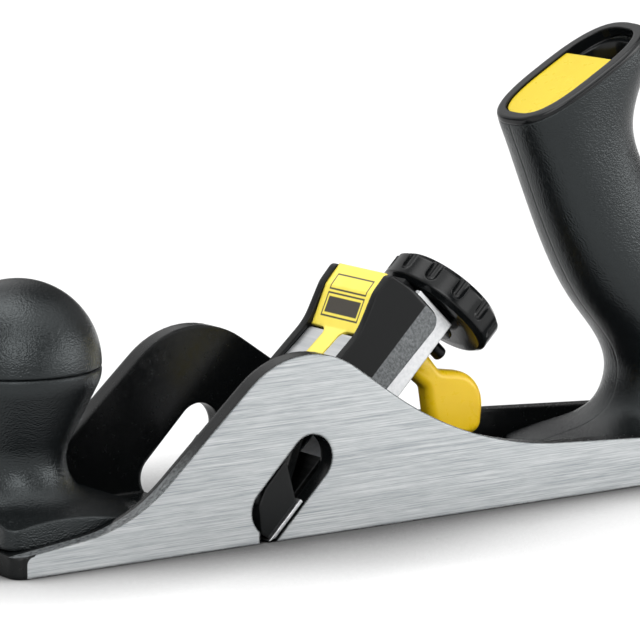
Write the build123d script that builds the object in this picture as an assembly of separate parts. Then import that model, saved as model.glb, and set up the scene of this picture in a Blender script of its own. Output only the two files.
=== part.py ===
from build123d import *
import os
from math import cos, pi, radians, sin

# A replaceable-blade rebate plane, toe towards -X, heel towards +X, standing on its sole.
# The origin is on the sole's lower face, at the middle of its length and width. Sizes in mm.

# ---- Body: a channel with a flat sole and two side walls
LENGTH = 250.0
WIDTH = 50.0
SOLE = 4.0
WALL = 4.5
LIP = 4.0
CORNER_R = 3.0
INNER_R = 2.0
TOE_HEIGHT = 4.6
HEEL_HEIGHT = 6.4
# The bends of a side wall's top edge: distance from the toe, height, radius
FRONT_BEND = (29.8, 8.0, 40.0)
CREST_BEND = (73.8, 47.3, 22.5)
REAR_BEND = (120.6, 14.85, 95.0)

# ---- Bed: s runs up the bed from the cutting edge, n stands square to it
BED_ANGLE = 45.0
MOUTH_FROM_TOE = 65.0
MOUTH_GAP = 2.3
SLOT_OFFSET = 4.15
SLOT_R = 5.65
SLOT_LOW = 5.9
SLOT_HIGH = 20.5

# ---- Blade and the carrier that slides it along the bed
BLADE_T = 0.8
BLADE_DEPTH = 12.0
BLADE_SETBACK = 0.3
BLADE_BEVEL = 1.6
BLADE_SIDE_GAP = 0.1
BLADE_PIN_S = 8.0
BLADE_PIN_INSET = 5.5
BLADE_PIN_R = 1.5
CARRIER_T = 2.0
CARRIER_NOSE_Z = 1.6
CARRIER_FOOT_END = 24.0
CARRIER_BAR_GAP = 0.8
TANG_W = 8.0
TANG_T = 1.0
SLIDE_GAP = 0.1
BED_SIDE_GAP = 0.3
RETRACT = 1.5
ADVANCE = 1.0

# ---- Frog: the machined block under the bed
FROG_CAP_GAP = 0.3
FROG_TOP = 72.5
FROG_DEPTH = 15.3
FROG_STEP = 1.8
WEDGE_Z = 13.0
FROG_REAR = 109.9
BOSS_WALL = 2.2
BOSS_KEY_GAP = 0.6

# ---- Depth wheel and its spindle
SPINDLE_N = -15.0
SPINDLE_R = 3.0
SPINDLE_LOW = 68.6
SPINDLE_END_GAP = 1.3
WHEEL_R = 14.5
WHEEL_LOW = 73.6
WHEEL_TOP = 81.5
WHEEL_BEVEL = 1.3
HUB_T = 0.6
HUB_GAP = 0.5
GROOVE_WALL = 2.0
GROOVE_DEPTH = 1.8
GROOVE_W = 1.2
GRIP_SLOTS = 12
GRIP_SLOT_R = 1.5
GRIP_SLOT_PHASE = 4.0
GRIP_SLOT_LOW = 2.4
LOCK_SCREW_R = 1.7
LOCK_SCREW_S = 68.8
LOCK_SCREW_OUT = 9.0

# ---- Clamp cap, which tilts on a cross pin
CAP_W = 23.0
CAP_SKIRT = 2.2
CAP_TOP = 70.0
CAP_CEILING = 1.7
CAP_RIM = 2.0
CAP_BULGE = 0.9
CAP_CORNER_R = 1.6
PIVOT_S = 36.0
PIVOT_N = -8.0
PIVOT_R = 2.0
NOSE_SIDE_GAP = 0.7
NOSE_GAP = 0.05
FACE_LOW = 17.5
FACE_N = 4.0
PLATE_GAP = 0.2
FACE_PLATE_T = 0.7
FACE_PLATE_TOP = 53.2
BADGE_T = 0.9
BADGE_LOW = 54.0
TAIL_W = 5.8
TAIL_LOW = 30.0
TAIL_R = 2.4

# ---- Clamp screw, thrust pad and thumb key
KEY_S = 62.7
CLAMP_R = 2.0
CLAMP_LOW = -21.5
PAD_R = 4.0
PAD_T = 1.6
KEY_NECK_R = 3.5
KEY_NECK_END = -25.5
KEY_WAIST_R = 2.8
KEY_WAIST_N = -25.0
KEY_SIDE_R = 10.7
KEY_SIDE_N = -35.9
KEY_TIP_N = -44.6
KEY_T = 5.6
KEY_ROUND = 2.0

# ---- Front knob
KNOB_FROM_TOE = 15.9
KNOB_R = 18.4
KNOB_CENTRE_Z = 42.0
KNOB_SEAM_Z = 41.2
KNOB_NECK_R = 10.4
KNOB_NECK_Z = 23.0
KNOB_NECK_BEND = 9.0
KNOB_FLARE_Z = 14.2
KNOB_FLARE_R = 9.5
SKIRT_R = 26.0
SKIRT_Z = 8.5
SKIRT_FRONT = 1.5
SKIRT_REAR = 43.0
SKIRT_LOW = 5.2
SKIRT_SIDE_GAP = 0.5
SPIGOT_R = 8.9
SPIGOT_L = 4.0
KNOB_NUT_Z = 19.0
KNOB_NUT_T = 5.0
KNOB_NUT_R = 5.7

# ---- Rear handle
RIM_FROM_HEEL = 81.9
RIM_Z = 96.1
RIM_TILT = 29.6
RIM_A = 20.6
RIM_B = 12.3
BEZEL_T = 1.4
BEZEL_ROUND = 0.9
RECESS_END_WALL = 2.4
RECESS_SIDE_WALL = 3.1
RECESS_DEPTH = 9.5
RECESS_REAR_DRAFT = 5.2
RECESS_SIDE_DRAFT = 1.2
LINER_T = 1.2
LID_T = 2.4
LID_SINK = 0.5
LID_REAR = 6.5
CASSETTE_FRONT = -15.5
CASSETTE_SPARE_ROOM = 6.5
CASSETTE_W = 7.2
CASSETTE_END = 6.0
CASSETTE_GAP = 0.35
LID_GAP = 0.3
SPARE_Y = 1.8
SPARE_WALL = 1.5
SPARE_GAP = 0.1
FLANGE_Z = 7.0
FLANGE_SIDE_GAP = 0.5
GRIP_FOOT_B = 15.6
FLANGE_SPREAD = 4.4

# ---- Fasteners
HEAD_SINK = 0.3
M6_R = 3.0
M6_HEAD_R = 6.0
M5_R = 2.5
M5_HEAD_R = 5.0
FIT = 0.05
FROG_SCREW_FROM_TOE = 92.5
FROG_SCREW_INSET = 6.0
FROG_SCREW_DEPTH = 7.5
HANDLE_SCREWS_FROM_HEEL = (60.0, 29.0)
HANDLE_NUT_Z = (12.0, 9.0)
HANDLE_NUT_W = 7.8
HANDLE_NUT_T = 3.9
TOP_SIDE_SCREW = (82.0, 56.5)
LOW_SIDE_SCREW = (37.0, 20.5)
MIDDLE_SIDE_SCREW = (-13.5, 10.0)
M3_R = 1.5
M3_HEAD_R = 2.8
M3_HEAD_T = 2.0
SIDE_SCREW_SEAT = 4.5
SIDE_SCREW_REACH = 5.5

# ---- Places that follow from the sizes above
TOE_X = -LENGTH / 2
HEEL_X = LENGTH / 2
EDGE_X = TOE_X + MOUTH_FROM_TOE
C = cos(radians(BED_ANGLE))
S = sin(radians(BED_ANGLE))
INNER_W = WIDTH - 2 * WALL
BED_N = -BLADE_T - CARRIER_T - SLIDE_GAP
CAP_BORE_W = CAP_W - 2 * CAP_SKIRT
CAP_RECESS_W = CAP_W - 2 * CAP_RIM
FROG_W = CAP_BORE_W - 2 * FROG_CAP_GAP
GROOVE_ROOT_R = SPINDLE_R + GROOVE_WALL
HUB_R = GROOVE_ROOT_R + GROOVE_DEPTH
RECESS_A = RIM_A - RECESS_END_WALL
RECESS_B = RIM_B - RECESS_SIDE_WALL
BLADE_W = WIDTH - 2 * BLADE_SIDE_GAP
CASSETTE_REAR = CASSETTE_FRONT + BLADE_DEPTH + CASSETTE_SPARE_ROOM
CASSETTE_DEPTH = WIDTH + CASSETTE_END
BLADE_PIN_Y = INNER_W / 2 - BLADE_PIN_INSET
FROG_SCREW_Y = INNER_W / 2 - FROG_SCREW_INSET
UP_BED = Vector(C, 0, S)
OFF_BED = Vector(-S, 0, C)
BED = Plane(origin=(EDGE_X, 0, 0), x_dir=UP_BED, z_dir=(0, -1, 0))
RIM_SIN = sin(radians(RIM_TILT))
RIM_COS = cos(radians(RIM_TILT))
RIM = Plane(
    origin=(HEEL_X - RIM_FROM_HEEL, 0, RIM_Z),
    x_dir=(RIM_COS, 0, RIM_SIN),
    z_dir=(-RIM_SIN, 0, RIM_COS),
)
KNOB_X = TOE_X + KNOB_FROM_TOE


# ---- Helpers
def outline(*corners):
    """Closed face through the corners; a corner's third value is its rounding radius."""
    points = [corner[:2] for corner in corners]
    radii = [corner[2] if len(corner) > 2 else 0 for corner in corners]
    return make_face(FilletPolyline(*points, radius=radii, close=True))


def bed_at(s, n, y=0.0):
    """Point at s up the bed, n off it and y across the plane."""
    return Vector(EDGE_X + s * C - n * S, y, s * S + n * C)


def bed_line_x(n, z):
    """X at which the line parallel to the bed, n off it, has height z."""
    return EDGE_X + (z - n * C) / S * C - n * S


def slab(face, width, y=0.0):
    """Face drawn in (s, n), as thick as width, centred at y."""
    return Pos(0, y, 0) * extrude(BED * face, width / 2, both=True)


def side_slab(face, width, y=0.0):
    """Face drawn in (x, z), as thick as width, centred at y."""
    return Pos(0, y, 0) * extrude(Plane.XZ * face, width / 2, both=True)


def rod(start, direction, radius, length):
    """Cylinder from a start point along a direction."""
    plane = Plane(origin=start, z_dir=direction)
    return plane * Cylinder(radius, length, align=(Align.CENTER, Align.CENTER, Align.MIN))


def cone(start, direction, radius_1, radius_2, length):
    """Cone from a start point along a direction."""
    plane = Plane(origin=start, z_dir=direction)
    return plane * Cone(radius_1, radius_2, length, align=(Align.CENTER, Align.CENTER, Align.MIN))


def box_between(low, high):
    """Box from its lowest to its highest corner."""
    size = [b - a for a, b in zip(low, high)]
    return Pos(*low) * Box(*size, align=(Align.MIN, Align.MIN, Align.MIN))


def superellipse(half_x, half_y, power):
    """Smooth rounded oval; power 2 is an ellipse, more is squarer."""
    count = 32
    points = []
    for i in range(count):
        c = cos(2 * pi * i / count)
        s = sin(2 * pi * i / count)
        x = half_x * abs(c) ** (2 / power) * (1 if c > 0 else -1)
        y = half_y * abs(s) ** (2 / power) * (1 if s > 0 else -1)
        points.append((x, y))
    return make_face(Spline(*points, periodic=True))


def countersunk_hole(start, direction, radius, head_radius, length):
    """Clearance hole for a countersunk screw whose head starts at the surface."""
    seat = HEAD_SINK + head_radius - radius
    hole = rod(start, direction, radius + 2 * FIT, length)
    top = rod(start - direction, direction, head_radius + FIT, 1 + HEAD_SINK)
    taper = cone(start + direction * HEAD_SINK, direction, head_radius + FIT, radius + FIT,
                 seat - HEAD_SINK)
    return hole + top + taper


def countersunk_screw(start, direction, radius, head_radius, length):
    """Countersunk screw with a hexagon socket, its head sunk a little under the surface."""
    head = start + direction * HEAD_SINK
    taper = cone(head, direction, head_radius, radius, head_radius - radius)
    screw = taper + rod(head, direction, radius, length - HEAD_SINK)
    socket_r = 0.6 * radius
    plane = Plane(origin=head, z_dir=direction)
    return screw - plane * extrude(RegularPolygon(socket_r, 6), 0.8 * radius)


# ---- Body
def mouth_face(rear_n, top_z):
    """Mouth in (x, z): an upright front edge, and a rear edge parallel to the bed."""
    front = EDGE_X - MOUTH_GAP
    return outline((front, -1), (front, top_z), (bed_line_x(rear_n, top_z), top_z),
                   (bed_line_x(rear_n, -1), -1))


def plane_body():
    walls = outline(
        (TOE_X, 0),
        (TOE_X, TOE_HEIGHT),
        (TOE_X + FRONT_BEND[0], FRONT_BEND[1], FRONT_BEND[2]),
        (TOE_X + CREST_BEND[0], CREST_BEND[1], CREST_BEND[2]),
        (TOE_X + REAR_BEND[0], REAR_BEND[1], REAR_BEND[2]),
        (HEEL_X, HEEL_HEIGHT),
        (HEEL_X, 0),
    )
    body = side_slab(walls, WIDTH)
    body &= extrude(RectangleRounded(LENGTH, WIDTH, CORNER_R), CREST_BEND[1])
    trough = extrude(RectangleRounded(LENGTH - 2 * LIP, INNER_W, INNER_R), CREST_BEND[1])
    body -= Pos(0, 0, SOLE) * trough
    slot = Pos((SLOT_LOW + SLOT_HIGH) / 2, SLOT_OFFSET) * SlotCenterToCenter(
        SLOT_HIGH - SLOT_LOW, 2 * SLOT_R)
    body -= slab(slot, WIDTH + 2)
    body -= side_slab(mouth_face(SLOT_OFFSET - SLOT_R, bed_at(SLOT_LOW, SLOT_OFFSET).Z), WIDTH + 2)
    body -= side_slab(mouth_face(BED_N - SLIDE_GAP, SOLE + 1), INNER_W)
    for x, y in frog_screw_places():
        body -= countersunk_hole(Vector(x, y, 0), Vector(0, 0, 1), M5_R, M5_HEAD_R, SOLE + 1)
    for x, nut_z in handle_screw_places():
        body -= countersunk_hole(Vector(x, 0, 0), Vector(0, 0, 1), M5_R, M5_HEAD_R, SOLE + 1)
    body -= countersunk_hole(Vector(KNOB_X, 0, 0), Vector(0, 0, 1), M6_R, M6_HEAD_R, SOLE + 1)
    return body


# ---- Front knob
def knob_base():
    seat = outline(
        (0, SKIRT_LOW),
        (45, SKIRT_LOW),
        (45, SKIRT_Z - 0.5),
        (SKIRT_R, SKIRT_Z, 12),
        (KNOB_NECK_R, KNOB_FLARE_Z, KNOB_FLARE_R),
        (KNOB_NECK_R, KNOB_NECK_Z, KNOB_NECK_BEND),
        (KNOB_R, KNOB_SEAM_Z - 2.3, 8),
        (KNOB_R, KNOB_SEAM_Z - 0.4),
        (KNOB_R - 0.5, KNOB_SEAM_Z),
        (0, KNOB_SEAM_Z),
    )
    turned = Pos(KNOB_X, 0, 0) * revolve(Plane.XZ * seat, Axis.Z)
    half_w = INNER_W / 2 - SKIRT_SIDE_GAP
    front = TOE_X + SKIRT_FRONT
    rear = TOE_X + SKIRT_REAR
    plan = Pos((front + rear) / 2, 0, 0) * RectangleRounded(rear - front, 2 * half_w, CORNER_R)
    base = turned & extrude(plan, KNOB_SEAM_Z + 1)
    foot_front = TOE_X + LIP + SKIRT_SIDE_GAP
    foot = Pos((foot_front + rear) / 2, 0, SOLE) * RectangleRounded(
        rear - foot_front, 2 * half_w, INNER_R)
    base += extrude(foot, SKIRT_LOW - SOLE)
    base -= Pos(KNOB_X, 0, KNOB_SEAM_Z - SPIGOT_L - 0.5) * Cylinder(
        SPIGOT_R + FIT, SPIGOT_L + 1, align=(Align.CENTER, Align.CENTER, Align.MIN))
    base -= rod(Vector(KNOB_X, 0, 0), Vector(0, 0, 1), M6_R + 2 * FIT, KNOB_NUT_Z + 8)
    base -= Pos(KNOB_X, 0, KNOB_NUT_Z) * extrude(
        RegularPolygon(KNOB_NUT_R + 2 * FIT, 6), KNOB_SEAM_Z - SPIGOT_L - KNOB_NUT_Z)
    return base


def knob_cap():
    dome = Pos(KNOB_X, 0, KNOB_CENTRE_Z) * Sphere(KNOB_R)
    dome &= Pos(KNOB_X, 0, KNOB_SEAM_Z) * Cylinder(
        KNOB_R + 1, KNOB_R + 3, align=(Align.CENTER, Align.CENTER, Align.MIN))
    rim = dome.faces().sort_by(Axis.Z)[0].outer_wire().edges()
    dome = chamfer(rim, 0.45)
    return dome + rod(Vector(KNOB_X, 0, KNOB_SEAM_Z - SPIGOT_L), Vector(0, 0, 1), SPIGOT_R, SPIGOT_L + 1)


def knob_screw():
    length = KNOB_NUT_Z + KNOB_NUT_T + 1
    return countersunk_screw(Vector(KNOB_X, 0, 0), Vector(0, 0, 1), M6_R, M6_HEAD_R, length)


def knob_nut():
    nut = Pos(KNOB_X, 0, KNOB_NUT_Z) * extrude(RegularPolygon(KNOB_NUT_R, 6), KNOB_NUT_T)
    return nut - rod(Vector(KNOB_X, 0, KNOB_NUT_Z - 1), Vector(0, 0, 1), M6_R, KNOB_NUT_T + 2)


# ---- Frog
def frog_screw_places():
    x = TOE_X + FROG_SCREW_FROM_TOE
    return [(x, -FROG_SCREW_Y), (x, FROG_SCREW_Y)]


def frog():
    rear_x = TOE_X + FROG_REAR
    top = bed_at(FROG_TOP, BED_N)
    back = bed_at(FROG_TOP, -FROG_DEPTH)
    rear_z = (rear_x - bed_at(0, -FROG_DEPTH).X) / C * S + bed_at(0, -FROG_DEPTH).Z
    block = outline(
        (bed_line_x(BED_N, SOLE), SOLE),
        (top.X, top.Z),
        (back.X, back.Z),
        (rear_x, rear_z, 3),
        (rear_x, SOLE),
    )
    wedge = outline(
        (bed_line_x(BED_N, SOLE), SOLE),
        (bed_line_x(BED_N, WEDGE_Z), WEDGE_Z),
        (rear_x, WEDGE_Z, 4),
        (rear_x, SOLE),
    )
    part = side_slab(block, FROG_W)
    part += side_slab(wedge, INNER_W - 2 * BED_SIDE_GAP)
    step_s = FROG_TOP - FROG_STEP
    boss_s = KEY_S + KEY_NECK_R + BOSS_KEY_GAP
    part += rod(bed_at(boss_s, SPINDLE_N), UP_BED, SPINDLE_R + BOSS_WALL, step_s - boss_s)
    step = outline((step_s, 5), (FROG_TOP + 1, 5), (FROG_TOP + 1, -30), (step_s, -30))
    part -= slab(step, 2 * (HUB_R + HUB_GAP))
    part -= rod(bed_at(SPINDLE_LOW - SPINDLE_END_GAP, SPINDLE_N), UP_BED, SPINDLE_R + FIT, 10)
    part -= rod(bed_at(KEY_S, -FROG_DEPTH - 1), OFF_BED, CLAMP_R + FIT, FROG_DEPTH + 1)
    part -= rod(bed_at(LOCK_SCREW_S, SPINDLE_N), -OFF_BED, LOCK_SCREW_R, 12)
    part -= rod(bed_at(PIVOT_S, PIVOT_N, -FROG_W), Vector(0, 1, 0), PIVOT_R, 2 * FROG_W)
    for x, y in frog_screw_places():
        part -= rod(Vector(x, y, SOLE - 1), Vector(0, 0, 1), M5_R, FROG_SCREW_DEPTH + 1)
    return part


def frog_screws():
    screws = [countersunk_screw(Vector(x, y, 0), Vector(0, 0, 1), M5_R, M5_HEAD_R, 11)
              for x, y in frog_screw_places()]
    return Compound(children=screws)


# ---- Blade and carrier
def blade():
    edge = BLADE_SETBACK
    face = outline((edge, 0), (edge + BLADE_DEPTH, 0), (edge + BLADE_DEPTH, -BLADE_T),
                   (edge + BLADE_BEVEL, -BLADE_T))
    part = slab(face, BLADE_W)
    for side in (-1, 1):
        part -= rod(bed_at(BLADE_PIN_S, -2, side * BLADE_PIN_Y), OFF_BED, BLADE_PIN_R + 0.1, 4)
    return part


def blade_pins():
    length = CARRIER_T + BLADE_T - 0.2
    pins = [rod(bed_at(BLADE_PIN_S, BED_N + SLIDE_GAP + 0.1, side * BLADE_PIN_Y), OFF_BED,
                BLADE_PIN_R, length) for side in (-1, 1)]
    return Compound(children=pins)


def blade_carrier():
    top = -BLADE_T
    low = -BLADE_T - CARRIER_T
    nose_top = (CARRIER_NOSE_Z - top * C) / S
    nose_low = (CARRIER_NOSE_Z - low * C) / S
    foot = outline((nose_top, top), (CARRIER_FOOT_END, top), (CARRIER_FOOT_END, low), (nose_low, low))
    part = slab(foot, INNER_W - 2 * BED_SIDE_GAP)
    tang_s = WHEEL_LOW - GROOVE_W / 2 - TANG_T / 2
    tang_n = SPINDLE_N + GROOVE_ROOT_R + 0.4
    bar_end = CAP_TOP - 2
    part += slab(outline((CARRIER_FOOT_END - 2, top), (bar_end, top), (bar_end, low),
                         (CARRIER_FOOT_END - 2, low)), CAP_BORE_W - 2 * CARRIER_BAR_GAP)
    part += slab(outline((bar_end - 1, top), (tang_s + TANG_T, top), (tang_s + TANG_T, low),
                         (bar_end - 1, low)), TANG_W)
    part += slab(outline((tang_s, top), (tang_s + TANG_T, top), (tang_s + TANG_T, tang_n),
                         (tang_s, tang_n)), TANG_W)
    slot_r = CLAMP_R + 0.3
    slot_low = KEY_S - RETRACT
    slot_high = KEY_S + ADVANCE
    slot = Pos((slot_low + slot_high) / 2, 0) * SlotCenterToCenter(slot_high - slot_low, 2 * slot_r)
    flat = Plane(origin=bed_at(0, low - 1), x_dir=UP_BED, z_dir=OFF_BED)
    part -= flat * extrude(slot, CARRIER_T + 2)
    for side in (-1, 1):
        part -= rod(bed_at(BLADE_PIN_S, low - 1, side * BLADE_PIN_Y), OFF_BED, BLADE_PIN_R, 4)
    return part


# ---- Depth wheel
def depth_wheel():
    groove_top = WHEEL_LOW
    groove_low = groove_top - GROOVE_W
    half = outline(
        (SPINDLE_R, groove_low - HUB_T),
        (HUB_R, groove_low - HUB_T),
        (HUB_R, groove_low),
        (GROOVE_ROOT_R, groove_low),
        (GROOVE_ROOT_R, groove_top),
        (WHEEL_R - 3.8, groove_top),
        (WHEEL_R - WHEEL_BEVEL, WHEEL_LOW + 0.2, 0.5),
        (WHEEL_R, WHEEL_LOW + WHEEL_BEVEL, 0.6),
        (WHEEL_R, WHEEL_TOP - WHEEL_BEVEL, 0.5),
        (WHEEL_R - 1.6, WHEEL_TOP, 0.5),
        (WHEEL_R - 4.5, WHEEL_TOP),
        (WHEEL_R - 5, WHEEL_TOP - 1),
        (SPINDLE_R, WHEEL_TOP - 1),
    )
    axis_plane = Plane(origin=bed_at(0, SPINDLE_N), x_dir=OFF_BED, z_dir=UP_BED)
    wheel = axis_plane * revolve(Plane.XZ * half, Axis.Z)
    low = WHEEL_LOW + GRIP_SLOT_LOW + GRIP_SLOT_R
    groove = Pos(0, 0, low) * (
        Cylinder(GRIP_SLOT_R, WHEEL_TOP, align=(Align.CENTER, Align.CENTER, Align.MIN))
        + Sphere(GRIP_SLOT_R))
    for place in PolarLocations(WHEEL_R - 0.1, GRIP_SLOTS, start_angle=GRIP_SLOT_PHASE):
        wheel -= axis_plane * place * groove
    return wheel


def depth_spindle():
    return rod(bed_at(SPINDLE_LOW, SPINDLE_N), UP_BED, SPINDLE_R, WHEEL_TOP - 0.6 - SPINDLE_LOW)


def spindle_lock_screw():
    tip = SPINDLE_N - SPINDLE_R - 0.3
    end = SPINDLE_N - LOCK_SCREW_OUT
    stud = rod(bed_at(LOCK_SCREW_S, tip), -OFF_BED, LOCK_SCREW_R, tip - end)
    return fillet(stud.edges().sort_by(Axis((0, 0, 0), -OFF_BED))[-1], 0.6)


# ---- Clamp cap and what it carries
def cap_floor():
    """The recess floor along the cap's face, from its low end to its top."""
    return [(FACE_LOW, FACE_N), (42.0, FACE_N), (54.2, 3.0), (63.2, 6.5), (CAP_TOP - 0.6, 6.8)]


def face_sheet(thickness, plan):
    """Sheet lying on the recess floor, with a plan drawn in (s, y)."""
    floor = cap_floor()
    raised = [(s, n + thickness) for s, n in reversed(floor)]
    flat = Plane(origin=bed_at(0, 0), x_dir=UP_BED, z_dir=OFF_BED)
    return slab(outline(*floor, *raised), CAP_W) & flat * extrude(plan, 15)


def badge_plan(grown):
    """Badge with a tail that flares into it, its edges moved outwards by grown."""
    half = CAP_RECESS_W / 2 - PLATE_GAP
    tail = TAIL_W / 2 + grown
    low = BADGE_LOW - grown
    return outline((TAIL_LOW - grown, -tail), (low, -tail, TAIL_R - grown), (low, -half - grown),
                   (CAP_TOP - 1, -half - grown), (CAP_TOP - 1, half + grown), (low, half + grown),
                   (low, tail, TAIL_R - grown), (TAIL_LOW - grown, tail))


def clamp_cap():
    side = outline(
        (14, CAP_CEILING),
        (14, 5.6),
        (42, 5.6),
        (54, 4.9, 15),
        (63.3, 7.9, 8),
        (CAP_TOP - 1.2, 8.1, 1.5),
        (CAP_TOP + CAP_BULGE, -2, 25),
        (CAP_TOP + CAP_BULGE / 2, -10.6, 3.5),
        (49, -9.8),
        (PIVOT_S + 5.5, PIVOT_N - 4.4, 4),
        (PIVOT_S - 4.5, PIVOT_N - 4.4, 4),
        (PIVOT_S - 6.0, CAP_CEILING),
    )
    flat = Plane(origin=bed_at(0, CAP_CEILING), x_dir=UP_BED, z_dir=OFF_BED)
    end = CAP_TOP + 1.3 * CAP_BULGE
    plan = Pos(end / 2, 0) * RectangleRounded(end, CAP_W, CAP_CORNER_R)
    shell = slab(side, CAP_W) & flat * extrude(plan, 20, both=True)
    cavity = outline((10, CAP_CEILING), (CAP_TOP - 2.4, CAP_CEILING), (CAP_TOP - 2.4, 0.9),
                     (CAP_TOP + 9, 0.9), (CAP_TOP + 9, -20), (10, -20))
    shell -= slab(cavity, CAP_BORE_W)
    above = [(CAP_TOP - 0.6, 12), (FACE_LOW, 12)]
    shell -= slab(outline(*cap_floor(), *above), CAP_RECESS_W)
    nose = outline(
        (BLADE_SETBACK + 0.6, NOSE_GAP),
        (0.4, 2.4),
        (4.5, 7.4, 2),
        (8.5, 8.7),
        (16.3, 9.0),
        (11.3, NOSE_GAP),
    )
    near = WIDTH / 2 - NOSE_SIDE_GAP
    far = CAP_W / 2
    shell += slab(nose, near + far, (far - near) / 2)
    half_foot = INNER_W / 2 - 0.5
    gusset = outline((12.5, -half_foot), (15, -half_foot), (30, -far), (30, far), (12.5, far))
    shell += flat * extrude(gusset, 4.0 - CAP_CEILING)
    shell -= rod(bed_at(PIVOT_S, PIVOT_N, -CAP_W), Vector(0, 1, 0), PIVOT_R + FIT, 2 * CAP_W)
    return shell


def cap_pivot_pin():
    length = CAP_W - 0.2
    return rod(bed_at(PIVOT_S, PIVOT_N, -length / 2), Vector(0, 1, 0), PIVOT_R, length)


def face_plate():
    half = CAP_RECESS_W / 2 - PLATE_GAP
    low = FACE_LOW + 1
    plan = outline((low, -half), (FACE_PLATE_TOP, -half, 1), (FACE_PLATE_TOP, half, 1), (low, half))
    return face_sheet(FACE_PLATE_T, plan - badge_plan(PLATE_GAP))


def badge():
    return face_sheet(BADGE_T, badge_plan(0))


# ---- Clamp screw, pad and key
def clamp_pad():
    return rod(bed_at(KEY_S, CAP_CEILING - FIT - PAD_T), OFF_BED, PAD_R, PAD_T)


def clamp_screw():
    return rod(bed_at(KEY_S, CLAMP_LOW), OFF_BED, CLAMP_R, CAP_CEILING - PAD_T - 2 * FIT - CLAMP_LOW)


def clamp_key():
    top_n = -FROG_DEPTH - 1.5
    half = [(KEY_NECK_R, top_n), (KEY_WAIST_R, KEY_WAIST_N, 2), (KEY_SIDE_R, KEY_SIDE_N, 8.5)]
    mirrored = [(-corner[0], *corner[1:]) for corner in reversed(half)]
    profile = outline(*half, (0, KEY_TIP_N, 3), *mirrored)
    paddle = slab(Pos(KEY_S, 0) * profile, KEY_T)
    paddle = fillet(paddle.edges().filter_by(Axis.Y, reverse=True), KEY_ROUND)
    hub_n = -FROG_DEPTH - 0.5
    hub = cone(bed_at(KEY_S, hub_n), -OFF_BED, KEY_NECK_R, KEY_WAIST_R - 0.2, hub_n - KEY_NECK_END)
    key = paddle + hub
    return key - rod(bed_at(KEY_S, CLAMP_LOW), OFF_BED, CLAMP_R, 20)


# ---- Rear handle
def handle_section(from_heel, z, half_length, half_width, tilt, power):
    plane = Plane(
        origin=(HEEL_X - from_heel, 0, z),
        x_dir=(cos(radians(tilt)), 0, sin(radians(tilt))),
        z_dir=(-sin(radians(tilt)), 0, cos(radians(tilt))),
    )
    return plane * superellipse(half_length, half_width, power)


def handle_form():
    """Outer form of the whole handle, from its flange to the tilted rim."""
    flange_b = INNER_W / 2 - FLANGE_SIDE_GAP
    spread = (flange_b - GRIP_FOOT_B) / FLANGE_SPREAD
    grip = loft([
        handle_section(49.0, FLANGE_Z, 44.0, flange_b, 0, 3.5),
        handle_section(48.5, 8.8, 36.0, flange_b - 0.7 * spread, 0, 3.0),
        handle_section(47.0, 10.5, 29.0, flange_b - 1.8 * spread, 0, 2.6),
        handle_section(45.5, 13.2, 25.0, flange_b - 3.0 * spread, 0, 2.4),
        handle_section(45.3, 18.5, 21.8, GRIP_FOOT_B, 0, 2.3),
        handle_section(50.2, 28.5, 17.6, 14.5, 2.8, 2.3),
        handle_section(60.1, 41.0, 16.8, 13.4, 7.7, 2.3),
        handle_section(70.2, 55.2, 15.5, 12.6, 12.6, 2.3),
        handle_section(77.8, 70.4, 15.0, 11.9, 13.7, 2.3),
        handle_section(81.0, 79.4, 15.4, 11.8, 16.8, 2.35),
        handle_section(80.4, 89.7, 20.0, 12.0, 23.9, 2.5),
        handle_section(RIM_FROM_HEEL, RIM_Z, RIM_A, RIM_B, RIM_TILT, 2.7),
    ])
    flange = extrude(handle_section(49.0, SOLE, 44.0, flange_b, 0, 3.5), FLANGE_Z - SOLE)
    return grip + flange


def recess_form(depth, offset):
    """Well under the rim, its rear wall sloping forwards, grown by an offset."""
    top = superellipse(RECESS_A + offset, RECESS_B + offset, 3.0)
    low_a = RECESS_A + offset - RECESS_REAR_DRAFT / 2
    low = superellipse(low_a, RECESS_B + offset - RECESS_SIDE_DRAFT, 3.0)
    return loft([RIM * Pos(-RECESS_REAR_DRAFT / 2, 0, -depth) * low, RIM * top])


def liner_block():
    """Space in the grip that the bezel's liner fills."""
    return recess_form(RECESS_DEPTH + LINER_T, LINER_T)


def cassette_shaft():
    """Guide that the cassette slides in, down the handle from the rim."""
    front = CASSETTE_FRONT - CASSETTE_GAP
    rear = CASSETTE_REAR + CASSETTE_GAP
    half_w = CASSETTE_W / 2 + CASSETTE_GAP
    return RIM * box_between((front, -half_w, -CASSETTE_DEPTH - 1), (rear, half_w, 1))


def above_bezel():
    return RIM * box_between((-60, -40, -BEZEL_T), (60, 40, 30))


def handle_screw_places():
    return [(HEEL_X - d, z) for d, z in zip(HANDLE_SCREWS_FROM_HEEL, HANDLE_NUT_Z)]


def side_screw_places():
    """X and Z of the screws that join the halves; the middle one sits under the cassette."""
    middle = RIM.origin + RIM.x_dir * MIDDLE_SIDE_SCREW[0] - RIM.z_dir * (
        CASSETTE_DEPTH + MIDDLE_SIDE_SCREW[1])
    ends = [(HEEL_X - from_heel, z) for from_heel, z in (TOP_SIDE_SCREW, LOW_SIDE_SCREW)]
    return [*ends, (middle.X, middle.Z)]


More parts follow.
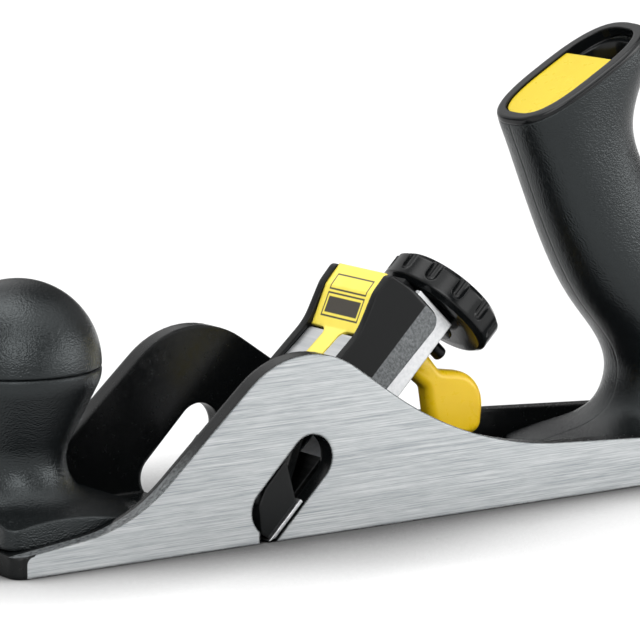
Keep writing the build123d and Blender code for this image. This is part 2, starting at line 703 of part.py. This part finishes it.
def handle_halves():
    form = handle_form()
    grip = form - above_bezel() - liner_block() - cassette_shaft()
    for x, nut_z in handle_screw_places():
        grip -= rod(Vector(x, 0, 0), Vector(0, 0, 1), M5_R + 2 * FIT, nut_z + 8)
        half = HANDLE_NUT_W / 2 + 2 * FIT
        grip -= box_between((x - half, -half, nut_z), (x + half, half, nut_z + HANDLE_NUT_T + 2 * FIT))
    far = box_between((-LENGTH, 0, -1), (LENGTH, WIDTH, 150))
    left = grip - far
    right = grip & far
    for x, z in side_screw_places():
        left -= rod(Vector(x, -SIDE_SCREW_REACH - 0.5, z), Vector(0, 1, 0), M3_R, SIDE_SCREW_REACH + 1.5)
        right -= rod(Vector(x, -1, z), Vector(0, 1, 0), M3_R + 2 * FIT, WIDTH)
        right -= rod(Vector(x, SIDE_SCREW_SEAT, z), Vector(0, 1, 0), M3_HEAD_R + 2 * FIT, WIDTH)
    return left, right


def handle_bezel():
    ring = handle_form() & above_bezel()
    rim = ring.faces().sort_by(Axis(RIM.origin, RIM.z_dir))[-1].outer_wire().edges()
    bezel = fillet(rim, BEZEL_ROUND) + liner_block()
    tray = RIM * Pos(0, 0, -LID_SINK - LID_T - 0.1) * extrude(
        superellipse(RECESS_A, RECESS_B, 3.0), LID_SINK + LID_T + 20)
    well = recess_form(RECESS_DEPTH, 0) & (
        RIM * box_between((CASSETTE_REAR, -40, -RECESS_DEPTH - 1), (60, 40, 40)))
    return bezel - tray - well - cassette_shaft()


def storage_cassette():
    top = -LID_SINK
    lid = RIM * Pos(0, 0, top - LID_T) * extrude(
        superellipse(RECESS_A - LID_GAP, RECESS_B - LID_GAP, 3.0), LID_T)
    lid &= RIM * box_between((-40, -40, -20), (LID_REAR, 40, 20))
    half_w = CASSETTE_W / 2
    body = RIM * box_between((CASSETTE_FRONT, -half_w, -CASSETTE_DEPTH),
                             (CASSETTE_REAR, half_w, top - LID_T))
    cassette = lid + body
    low_u = CASSETTE_FRONT + SPARE_WALL + SPARE_GAP
    for y in (-SPARE_Y, SPARE_Y):
        pocket = box_between(
            (low_u - SPARE_GAP, y - BLADE_T / 2 - SPARE_GAP, -CASSETTE_DEPTH - 1),
            (low_u + BLADE_DEPTH + SPARE_GAP, y + BLADE_T / 2 + SPARE_GAP, top - LID_T - SPARE_WALL))
        cassette -= RIM * pocket
    return cassette


def spare_blades():
    low_u = CASSETTE_FRONT + SPARE_WALL + SPARE_GAP
    top = -LID_SINK - LID_T - SPARE_WALL - SPARE_GAP
    blades = []
    for y in (-SPARE_Y, SPARE_Y):
        blades.append(RIM * box_between((low_u, y - BLADE_T / 2, top - BLADE_W),
                                        (low_u + BLADE_DEPTH, y + BLADE_T / 2, top)))
    return Compound(children=blades)


def handle_base_screws():
    screws = [countersunk_screw(Vector(x, 0, 0), Vector(0, 0, 1), M5_R, M5_HEAD_R, nut_z + 6)
              for x, nut_z in handle_screw_places()]
    return Compound(children=screws)


def handle_base_nuts():
    nuts = []
    for x, nut_z in handle_screw_places():
        half = HANDLE_NUT_W / 2
        nut = box_between((x - half, -half, nut_z), (x + half, half, nut_z + HANDLE_NUT_T))
        nuts.append(nut - rod(Vector(x, 0, nut_z - 1), Vector(0, 0, 1), M5_R, 8))
    return Compound(children=nuts)


def handle_side_screws():
    screws = []
    for x, z in side_screw_places():
        shank = rod(Vector(x, -SIDE_SCREW_REACH, z), Vector(0, 1, 0), M3_R,
                    SIDE_SCREW_SEAT + SIDE_SCREW_REACH + 0.5)
        head = rod(Vector(x, SIDE_SCREW_SEAT, z), Vector(0, 1, 0), M3_HEAD_R, M3_HEAD_T)
        socket = Plane(origin=(x, SIDE_SCREW_SEAT + M3_HEAD_T, z), z_dir=(0, -1, 0))
        screws.append(shank + head - socket * extrude(RegularPolygon(1.3, 6), 1.2))
    return Compound(children=screws)


def main():
    left, right = handle_halves()
    nodes = {
        "plane_body": plane_body(),
        "knob_base": knob_base(),
        "knob_cap": knob_cap(),
        "knob_screw": knob_screw(),
        "knob_nut": knob_nut(),
        "frog": frog(),
        "frog_screws": frog_screws(),
        "blade": blade(),
        "blade_pins": blade_pins(),
        "blade_carrier": blade_carrier(),
        "depth_wheel": depth_wheel(),
        "depth_spindle": depth_spindle(),
        "spindle_lock_screw": spindle_lock_screw(),
        "clamp_cap": clamp_cap(),
        "cap_pivot_pin": cap_pivot_pin(),
        "face_plate": face_plate(),
        "badge": badge(),
        "clamp_pad": clamp_pad(),
        "clamp_screw": clamp_screw(),
        "clamp_key": clamp_key(),
        "handle_left": left,
        "handle_right": right,
        "handle_bezel": handle_bezel(),
        "storage_cassette": storage_cassette(),
        "spare_blades": spare_blades(),
        "handle_base_screws": handle_base_screws(),
        "handle_base_nuts": handle_base_nuts(),
        "handle_side_screws": handle_side_screws(),
    }
    os.makedirs("parts", exist_ok=True)
    for name, shape in nodes.items():
        export_step(shape, f"parts/{name}.step")


main()
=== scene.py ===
from functools import reduce
from math import cos, radians, sin

import bpy
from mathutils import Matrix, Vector


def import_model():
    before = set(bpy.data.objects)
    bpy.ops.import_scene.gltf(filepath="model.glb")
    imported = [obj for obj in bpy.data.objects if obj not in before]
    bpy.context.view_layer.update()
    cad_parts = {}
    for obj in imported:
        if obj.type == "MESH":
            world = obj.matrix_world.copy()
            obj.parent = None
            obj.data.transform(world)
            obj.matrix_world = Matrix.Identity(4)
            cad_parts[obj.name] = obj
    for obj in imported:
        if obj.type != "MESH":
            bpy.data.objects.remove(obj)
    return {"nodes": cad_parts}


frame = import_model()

NODES = frame["nodes"]

# Lengths are in metres and colours are linear
MM = 0.001
X_AXIS, Y_AXIS, Z_AXIS = (1, 0, 0), (0, 1, 0), (0, 0, 1)
DOWN = (0, 0, -1)
BLACK, WHITE = (0, 0, 0), (1, 1, 1)

# The bed: s runs up it from the cutting edge, n stands square to it
EDGE = (-60 * MM, 0, 0)
UP_BED = (cos(radians(45)), 0, sin(radians(45)))
OFF_BED = (-sin(radians(45)), 0, cos(radians(45)))

# The ground side faces start at the toe with a rounded corner: its centre and radius
TOE_CORNER_X = -120.6 * MM
TOE_CORNER_Z = 3.0 * MM
TOE_CORNER_R = 1.6 * MM

# Soft borders between finishes: where the mask is 0, where it is 1
GROUND_FACE_Y = (24.85 * MM, 24.93 * MM)
TOE_CORNER_REACH = (TOE_CORNER_R + 0.1 * MM, TOE_CORNER_R - 0.1 * MM)
# Where the painted highlight on the toe's top edges fades out along x
TOE_HIGHLIGHT_X = (-76 * MM, -88 * MM)
WALL_TOP_Y = (21.6 * MM, 22.0 * MM)
CAP_BAND_N = (-4.6 * MM, -4.8 * MM)
CAP_SIDE_Y = (11.2 * MM, 11.4 * MM)
FROG_FOOT_N = (-15.4 * MM, -15.6 * MM)
FROG_BOSS_S = (25.2 * MM, 24.8 * MM)

# What a noise mostly keeps between, and how much rougher tool lines are than the metal between them
NOISE_LOW, NOISE_HIGH = 0.3, 0.7
LINE_ROUGHNESS = 0.08

# The badge's outlined box and the panel under it: lowest s, highest s, half width
BADGE_BOX = (62.2 * MM, 66.4 * MM, 7.2 * MM)
BADGE_PANEL = (56.2 * MM, 61.7 * MM, 7.2 * MM)
BADGE_LINE = 0.4 * MM
BADGE_CORE_INSET = 0.96 * MM
BADGE_SOFTNESS = 0.12 * MM

# Colours; a pair is the darker and the lighter end of an uneven finish
GRAINED_BLACK = ((0.0030, 0.0037, 0.0040), (0.0048, 0.0058, 0.0062))
GRAINED_BLACK_SHEEN = (0.90, 0.98, 1.0)
GLOSS_BLACK = (0.004, 0.0046, 0.005)
SATIN_BLACK = (0.0035, 0.004, 0.0043)
GROUND_IRON = ((0.33, 0.355, 0.368), (0.56, 0.575, 0.58))
BODY_PAINT = (0.0030, 0.0035, 0.0037)
# Light grey specks on the paint's outer edges: painted glints
EDGE_GLINT_PAINT = (0.22, 0.23, 0.235)
# Paint lightened to a painted highlight on the upward-facing top edges at the toe
TOP_EDGE_HIGHLIGHT = (0.125, 0.133, 0.137)
CAP_ENAMEL = (0.0035, 0.0040, 0.0042)
CAST_SKIN = ((0.075, 0.080, 0.083), (0.135, 0.142, 0.146))
FROG_ALLOY = ((0.56, 0.57, 0.58), (0.66, 0.665, 0.67))
FROG_BLACK = (0.006, 0.0065, 0.0068)
SILVER_PLATE = ((0.58, 0.60, 0.615), (0.68, 0.69, 0.70))
BLACKENED_STEEL = ((0.012, 0.0125, 0.013), (0.025, 0.0255, 0.026))
BLADE_STEEL = ((0.55, 0.56, 0.57), (0.75, 0.76, 0.77))
ZINC_PLATE = ((0.50, 0.51, 0.52), (0.66, 0.67, 0.68))
KEY_YELLOW = ((0.68, 0.44, 0.006), (0.75, 0.50, 0.010))
LID_YELLOW = ((0.62, 0.465, 0.012), (0.67, 0.51, 0.020))
BADGE_YELLOW = ((0.86, 0.70, 0.075), (0.92, 0.76, 0.100))
BADGE_DARK = (0.035, 0.029, 0.020)

# The camera that matches the view: it looks at TARGET from DISTANCE
TARGET = Vector((-0.02867, 0, 0.04337))
DISTANCE = 1.0
AZIMUTH = -34.94
ELEVATION = 9.8
LENS = 246.394
SENSOR_WIDTH = 36

# The light: a dim even sky with soft bright parts. Each is given by its axis, the cosines of the
# angles from the axis where it begins and where it is at full strength, and that strength
AMBIENT = 0.08
LOBES = {
    "overhead": ((-0.15, 0.12, 0.98), 0.88, 0.985, 4.2),
    "over_front": ((-0.15, -0.48, 0.86), 0.86, 0.975, 1.8),
    "over_right": ((0.50, -0.35, 0.80), 0.84, 0.97, 1.4),
    "left": ((-0.90, -0.25, 0.25), 0.84, 0.97, 0.9),
    "over_left": ((-0.72, 0.24, 0.65), 0.84, 0.97, 0.6),
    "right": ((0.79, -0.60, 0.14), 0.93, 0.985, 4.8),
    "front_right": ((0.35, -0.93, 0.12), 0.93, 0.985, 2.5),
    "front_left": ((-0.50, -0.75, 0.45), 0.91, 0.985, 4.6),
    "right_back": ((0.95, 0.20, 0.25), 0.84, 0.97, 0.2),
    "back": ((0.00, 0.85, 0.50), 0.75, 0.95, 0.8),
}

# The floor: how it glows and how much light it takes where it is seen, what it throws back
# elsewhere, and how far and how strongly the object shades it
FLOOR_SIZE = 12
FLOOR_Z = -0.1 * MM
FLOOR_GLOW = 0.58
FLOOR_GREY = (0.35, 0.35, 0.35)
FLOOR_BOUNCE = (0.85, 0.85, 0.85)
CONTACT_REACH = 50 * MM
CONTACT_POWER = 3.2

# The shader's sockets under short names
SOCKETS = {
    "base": "Base Color", "rough": "Roughness", "metal": "Metallic", "normal": "Normal",
    "spec": "Specular IOR Level", "spec_tint": "Specular Tint",
    "coat": "Coat Weight", "coat_rough": "Coat Roughness",
    "sss": "Subsurface Weight", "sss_scale": "Subsurface Scale",
    "stretch": "Anisotropic", "tangent": "Tangent",
}


class Tree:
    """A node tree and short calls that add nodes to it."""

    def __init__(self, tree):
        self.tree = tree

    def node(self, kind, settings=None, inputs=None):
        made = self.tree.nodes.new(kind)
        for key, value in (settings or {}).items():
            setattr(made, key, value)
        for key, value in (inputs or {}).items():
            self.feed(made.inputs[key], value)
        return made

    def feed(self, socket, value):
        if isinstance(value, bpy.types.NodeSocket):
            self.tree.links.new(value, socket)
        elif isinstance(value, tuple) and len(value) == 3 and socket.type == "RGBA":
            socket.default_value = (*value, 1)
        else:
            socket.default_value = value

    def math(self, operation, a, b=0.0, clamp=False):
        made = self.node("ShaderNodeMath", {"operation": operation, "use_clamp": clamp}, {0: a, 1: b})
        return made.outputs[0]

    def add(self, *values):
        return reduce(lambda a, b: self.math("ADD", a, b), values)

    def multiply(self, *values):
        return reduce(lambda a, b: self.math("MULTIPLY", a, b), values)

    def maximum(self, *values):
        return reduce(lambda a, b: self.math("MAXIMUM", a, b), values)

    def subtract(self, a, b):
        return self.math("SUBTRACT", a, b)

    def absolute(self, value):
        return self.math("ABSOLUTE", value)

    def inverse(self, mask):
        return self.subtract(1.0, mask)

    def excess(self, value, limit):
        """How far the value is over the limit, or 0."""
        return self.maximum(self.subtract(value, limit), 0.0)

    def dot(self, a, b):
        made = self.node("ShaderNodeVectorMath", {"operation": "DOT_PRODUCT"}, {0: a, 1: b})
        return made.outputs["Value"]

    def ramp(self, value, low, high, to_low=0.0, to_high=1.0, kind="LINEAR"):
        """Rise from to_low to to_high as the value goes from low to high."""
        made = self.node("ShaderNodeMapRange", {"interpolation_type": kind}, {
            "Value": value, "From Min": low, "From Max": high, "To Min": to_low, "To Max": to_high})
        return made.outputs["Result"]

    def step(self, value, low, high, to_low=0.0, to_high=1.0):
        """The same rise, with smooth ends."""
        return self.ramp(value, low, high, to_low, to_high, "SMOOTHSTEP")


class Graph(Tree):
    """A material's tree, with what is needed to shade an object."""

    def __init__(self, name):
        self.mat = bpy.data.materials.new(name)
        self.mat.use_nodes = True
        super().__init__(self.mat.node_tree)
        self.shader = self.tree.nodes["Principled BSDF"]
        self.coords = self.node("ShaderNodeTexCoord").outputs["Object"]

    def set(self, **inputs):
        for key, value in inputs.items():
            self.feed(self.shader.inputs[SOCKETS[key]], value)

    def along(self, direction, origin=(0, 0, 0)):
        """Distance of the point along a direction, from an origin."""
        offset = self.node("ShaderNodeVectorMath", {"operation": "SUBTRACT"}, {0: self.coords, 1: origin})
        return self.dot(offset.outputs[0], direction)

    def facing(self, direction):
        """How far the surface faces a direction, -1 to 1."""
        return self.dot(self.node("ShaderNodeNewGeometry").outputs["Normal"], direction)

    def noise(self, scale, detail=2.0, rough=0.5, vector=None):
        """Uneven tone; the scale is in waves to the metre."""
        made = self.node("ShaderNodeTexNoise", inputs={
            "Vector": vector or self.coords, "Scale": scale, "Detail": detail, "Roughness": rough})
        return made.outputs["Fac"]

    def streaks(self, lengthwise, upward, turn=0.0, detail=2.0, rough=0.5):
        """Noise in lines along the object, turned by some degrees about its cross axis."""
        drawn = self.node("ShaderNodeMapping", inputs={
            "Vector": self.coords, "Rotation": (0, radians(turn), 0),
            "Scale": (lengthwise, lengthwise, upward)})
        return self.noise(1.0, detail, rough, drawn.outputs[0])

    def mix(self, fac, a, b):
        """Colour a where fac is 0, b where it is 1. The mix node's colours are 6 and 7 in, 2 out."""
        made = self.node("ShaderNodeMix", {"data_type": "RGBA"}, {"Factor": fac, 6: a, 7: b})
        return made.outputs[2]

    def blend(self, fac, a, b):
        """The same for numbers, which are 2 and 3 in, 0 out."""
        made = self.node("ShaderNodeMix", {"data_type": "FLOAT"}, {"Factor": fac, 2: a, 3: b})
        return made.outputs[0]

    def mottled(self, value, tones, low=NOISE_LOW, high=NOISE_HIGH):
        """The darker tone where a noise is low, the lighter one where it is high."""
        return self.mix(self.ramp(value, low, high), *tones)

    def uneven(self, value, smallest, largest):
        """A number between two limits that follows a noise."""
        return self.ramp(value, NOISE_LOW, NOISE_HIGH, smallest, largest)

    def soft_edges(self, radius):
        return self.node("ShaderNodeBevel", {"samples": 6}, {"Radius": radius}).outputs[0]

    def edge_mask(self, radius, low, high):
        """1 at outer edges, 0 away from them; low and high are cosines of the angle between the
        softened and the true surface."""
        return self.step(self.facing(self.soft_edges(radius)), low, high, 1.0, 0.0)

    def bump(self, height, strength, depth, edge_radius):
        """Relief of some depth, on edges that look rounded by a radius."""
        return self.node("ShaderNodeBump", inputs={
            "Height": height, "Strength": strength, "Distance": depth,
            "Normal": self.soft_edges(edge_radius)}).outputs[0]


# ---- Materials
def black_plastic():
    """Moulded plastic with a fine spark-eroded grain."""
    g = Graph("black grained plastic")
    g.set(base=g.mottled(g.noise(60), GRAINED_BLACK),
          rough=g.uneven(g.noise(1100), 0.20, 0.27), spec=0.42, spec_tint=GRAINED_BLACK_SHEEN,
          normal=g.bump(g.noise(2500, detail=1.0), strength=1.0, depth=0.14 * MM, edge_radius=0.9 * MM))
    return g.mat


def gloss_black():
    g = Graph("gloss black plastic")
    g.set(base=GLOSS_BLACK, rough=g.uneven(g.noise(300), 0.12, 0.18), spec=0.28,
          normal=g.bump(g.noise(1200), strength=0.12, depth=0.04 * MM, edge_radius=0.6 * MM))
    return g.mat


def wheel_black():
    g = Graph("satin black plastic")
    g.set(base=SATIN_BLACK, rough=g.uneven(g.noise(500), 0.13, 0.19), spec=0.26,
          normal=g.bump(g.noise(1500), strength=0.15, depth=0.04 * MM, edge_radius=0.5 * MM))
    return g.mat


def ground_face(g):
    """Mask of the ground side faces, with a rounded corner at the toe and ragged edges."""
    x, z = g.along(X_AXIS), g.along(Z_AXIS)
    side = g.step(g.absolute(g.along(Y_AXIS)), *GROUND_FACE_Y)
    into_corner = g.excess(TOE_CORNER_X, x)
    near_corner = g.step(x, TOE_CORNER_X + TOE_CORNER_R, TOE_CORNER_X)
    over_corner = g.multiply(g.excess(z, TOE_CORNER_Z), near_corner)
    squares = g.add(g.math("POWER", into_corner, 2.0), g.math("POWER", over_corner, 2.0))
    toe = g.step(g.math("SQRT", squares), *TOE_CORNER_REACH)
    ragged = g.uneven(g.noise(1500, detail=3.0, rough=0.6), -0.35, 0.35)
    edge = g.step(g.add(g.edge_mask(0.8 * MM, 0.80, 0.99), ragged), 0.45, 0.60)
    return g.multiply(side, toe, g.inverse(edge))


def top_edge_highlight(g):
    """Mask of a painted highlight on the walls' upward-facing top edges at the toe, broken into patches.
    """
    upper = g.multiply(g.step(g.facing(Z_AXIS), 0.55, 0.75), g.step(g.along(X_AXIS), *TOE_HIGHLIGHT_X))
    outer = g.step(g.absolute(g.along(Y_AXIS)), *WALL_TOP_Y)
    flat = g.inverse(g.edge_mask(0.7 * MM, 0.80, 0.98))
    patchy = g.step(g.noise(1100, detail=3.0, rough=0.6), 0.30, 0.62, 0.35, 1.0)
    return g.multiply(upper, outer, flat, patchy)


def body_metal():
    """Grey iron: ground on its sole and sides, thick glossy black paint everywhere else."""
    g = Graph("ground iron with black paint")
    sole = g.step(g.facing(DOWN), 0.9, 0.98)
    bare = g.maximum(ground_face(g), sole)

    scratches = g.streaks(42, 4200, turn=1.0, detail=3.0, rough=0.65)
    lines = g.streaks(20, 1900, turn=0.6)
    pits = g.streaks(260, 4200, turn=1.0, rough=0.6)
    fine = g.add(g.multiply(scratches, 0.6), g.multiply(lines, 0.2), g.multiply(pits, 0.2))
    ground = g.mottled(fine, GROUND_IRON, 0.38, 0.60)

    coarse_cast = g.noise(900, detail=3.0, rough=0.65)
    cast = g.add(g.multiply(coarse_cast, 0.6), g.multiply(g.noise(2600), 0.4))
    # Sparse light specks along the outer edges of the paint: painted glints where the edges catch light
    glint_speck = g.step(g.noise(1900, rough=0.6), 0.66, 0.72)
    edge_glints = g.multiply(g.edge_mask(1.2 * MM, 0.75, 0.97), glint_speck, 0.8)
    paint = g.mix(edge_glints, BODY_PAINT, EDGE_GLINT_PAINT)
    # The toe's upward-facing top edges get a painted highlight
    paint = g.mix(top_edge_highlight(g), paint, TOP_EDGE_HIGHLIGHT)

    paint_rough = g.uneven(g.noise(700), 0.18, 0.28)
    ground_rough = g.ramp(fine, 0.35, 0.65, 0.62, 0.50)
    upright = g.node("ShaderNodeCombineXYZ", inputs={"Z": 1.0}).outputs[0]
    relief = g.blend(bare, g.multiply(cast, 1.6), fine)
    g.set(base=g.mix(bare, paint, ground), metal=bare, stretch=0.8, tangent=upright,
          rough=g.blend(bare, paint_rough, ground_rough), spec=g.blend(bare, 0.22, 0.5),
          normal=g.bump(relief, strength=0.30, depth=0.05 * MM, edge_radius=1.1 * MM))
    return g.mat


def cap_paint():
    """Enamel on the cap; the band along its lower edge is left as cast."""
    g = Graph("cap enamel with a cast band")
    side = g.absolute(g.along(Y_AXIS))
    band = g.multiply(g.step(g.along(OFF_BED, EDGE), *CAP_BAND_N), g.step(side, *CAP_SIDE_Y))
    cast = g.noise(1500, rough=0.55)
    relief = g.multiply(cast, g.blend(band, 0.08, 1.0))
    g.set(base=g.mix(band, CAP_ENAMEL, g.mottled(cast, CAST_SKIN, 0.35, 0.65)),
          rough=g.blend(band, 0.24, 0.38), spec=0.2,
          normal=g.bump(relief, strength=1.0, depth=0.22 * MM, edge_radius=0.8 * MM))
    return g.mat


def machined(name, tones, rough, turn=0.0):
    """Bare or plated metal with fine tool lines."""
    g = Graph(name)
    lines = g.streaks(60, 1400, turn)
    g.set(base=g.mottled(lines, tones, 0.35, 0.65), metal=1.0,
          rough=g.uneven(lines, rough, rough + LINE_ROUGHNESS),
          normal=g.bump(lines, strength=0.05, depth=0.03 * MM, edge_radius=0.3 * MM))
    return g.mat


def frog_metal():
    """Machined light alloy, with its foot and the boss under the spindle left black."""
    g = Graph("machined casting")
    foot = g.step(g.along(OFF_BED, EDGE), *FROG_FOOT_N)
    boss = g.step(g.along(UP_BED, EDGE), *FROG_BOSS_S)
    black = g.maximum(foot, boss)
    grain = g.noise(900, rough=0.6)
    g.set(base=g.mix(black, g.mottled(grain, FROG_ALLOY, 0.35, 0.65), FROG_BLACK),
          metal=g.inverse(black), rough=g.uneven(grain, 0.42, 0.52),
          normal=g.bump(grain, strength=0.10, depth=0.05 * MM, edge_radius=0.4 * MM))
    return g.mat


def yellow_plastic():
    g = Graph("yellow plastic")
    g.set(base=g.mottled(g.noise(90), KEY_YELLOW),
          rough=g.uneven(g.noise(500), 0.26, 0.34), spec=0.38, sss=0.06, sss_scale=2 * MM,
          normal=g.bump(g.noise(700), strength=0.08, depth=0.04 * MM, edge_radius=0.6 * MM))
    return g.mat


def lid_yellow():
    g = Graph("yellow lid")
    g.set(base=g.mottled(g.noise(70), LID_YELLOW),
          rough=g.uneven(g.noise(400), 0.26, 0.34), spec=0.3,
          normal=g.bump(g.noise(500), strength=0.06, depth=0.04 * MM, edge_radius=0.4 * MM))
    return g.mat


def badge_enamel():
    """Yellow enamel with a plain dark frame and a plain dark panel under it."""
    g = Graph("badge enamel")
    s = g.along(UP_BED, EDGE)
    y = g.absolute(g.along(Y_AXIS))

    def below(value, limit):
        return g.step(value, limit + BADGE_SOFTNESS, limit - BADGE_SOFTNESS)

    def inside(limits, inset=0.0):
        low_s, high_s, half_y = limits
        above = g.step(s, low_s + inset - BADGE_SOFTNESS, low_s + inset + BADGE_SOFTNESS)
        return g.multiply(above, below(s, high_s - inset), below(y, half_y - inset))

    box_line = g.subtract(inside(BADGE_BOX), inside(BADGE_BOX, BADGE_LINE))
    panel_line = g.subtract(inside(BADGE_PANEL), inside(BADGE_PANEL, BADGE_LINE))
    dark = g.maximum(box_line, panel_line, inside(BADGE_PANEL, BADGE_CORE_INSET))
    yellow = g.mottled(g.noise(150), BADGE_YELLOW)
    g.set(base=g.mix(dark, yellow, BADGE_DARK), rough=0.3, coat=0.6, coat_rough=0.15,
          normal=g.bump(g.inverse(dark), strength=0.3, depth=0.08 * MM, edge_radius=0.9 * MM))
    return g.mat


def dress():
    """Gives each node its finish."""
    finishes = (
        (black_plastic(), ("knob_base", "knob_cap", "handle_left", "handle_right")),
        (gloss_black(), ("handle_bezel",)),
        (wheel_black(), ("depth_wheel",)),
        (body_metal(), ("plane_body",)),
        (cap_paint(), ("clamp_cap",)),
        (frog_metal(), ("frog",)),
        (machined("silver plate", SILVER_PLATE, 0.34, turn=45), ("face_plate",)),
        (badge_enamel(), ("badge",)),
        (yellow_plastic(), ("clamp_key",)),
        (lid_yellow(), ("storage_cassette",)),
        (machined("blackened steel", BLACKENED_STEEL, 0.35),
         ("blade_carrier", "spindle_lock_screw", "handle_side_screws")),
        (machined("blade steel", BLADE_STEEL, 0.28), ("blade", "spare_blades")),
        (machined("zinc plate", ZINC_PLATE, 0.32),
         ("knob_screw", "knob_nut", "frog_screws", "blade_pins", "depth_spindle", "cap_pivot_pin",
          "clamp_pad", "clamp_screw", "handle_base_screws", "handle_base_nuts")),
    )
    for mat, names in finishes:
        for name in names:
            data = NODES[name].data
            data.materials.clear()
            data.materials.append(mat)


# ---- Set
def floor():
    """White floor that shows the object's shadow, deepest where the sole meets it."""
    bpy.ops.mesh.primitive_plane_add(size=FLOOR_SIZE, location=(0, 0, FLOOR_Z))
    plane = bpy.context.object
    plane.name = "floor"
    g = Graph("white floor")
    open_sky = g.node("ShaderNodeAmbientOcclusion", {"samples": 12}, {"Distance": CONTACT_REACH})
    shade = g.math("POWER", open_sky.outputs["AO"], CONTACT_POWER)
    glow = g.node("ShaderNodeEmission", inputs={
        "Color": g.mix(shade, BLACK, WHITE), "Strength": FLOOR_GLOW})
    lit = g.node("ShaderNodeBsdfDiffuse", inputs={"Color": g.mix(shade, BLACK, FLOOR_GREY)})
    seen = g.node("ShaderNodeAddShader", inputs={0: glow.outputs[0], 1: lit.outputs[0]})
    rays = g.node("ShaderNodeLightPath").outputs
    direct = g.math("ADD", g.add(rays["Is Camera Ray"], rays["Is Glossy Ray"]),
                    rays["Is Transmission Ray"], clamp=True)
    g.set(base=FLOOR_BOUNCE, rough=0.9, spec=0.0)
    both = g.node("ShaderNodeMixShader", inputs={
        0: direct, 1: g.shader.outputs[0], 2: seen.outputs[0]})
    g.feed(g.tree.nodes["Material Output"].inputs["Surface"], both.outputs[0])
    plane.data.materials.append(g.mat)


def world():
    """Dim surroundings with soft bright parts, each about a direction."""
    made = bpy.data.worlds.new("studio")
    made.use_nodes = True
    sky = Tree(made.node_tree)
    toward = sky.node("ShaderNodeTexCoord").outputs["Generated"]
    total = AMBIENT
    for axis, begins, full, strength in LOBES.values():
        total = sky.add(total, sky.step(sky.dot(toward, Vector(axis).normalized()),
                                         begins, full, 0.0, strength))
    background = sky.tree.nodes["Background"]
    sky.feed(background.inputs["Color"], WHITE)
    sky.feed(background.inputs["Strength"], total)
    bpy.context.scene.world = made


def camera():
    az, el = radians(AZIMUTH), radians(ELEVATION)
    back = Vector((sin(az) * cos(el), -cos(az) * cos(el), sin(el)))
    data = bpy.data.cameras.new("camera")
    data.sensor_width = SENSOR_WIDTH
    data.lens = LENS
    data.clip_start = 10 * MM
    made = bpy.data.objects.new("camera", data)
    made.location = TARGET + back * DISTANCE
    made.rotation_euler = back.to_track_quat("Z", "Y").to_euler()
    bpy.context.scene.collection.objects.link(made)
    bpy.context.scene.camera = made


dress()
floor()
world()
camera()
bpy.context.scene.view_settings.view_transform = "Standard"
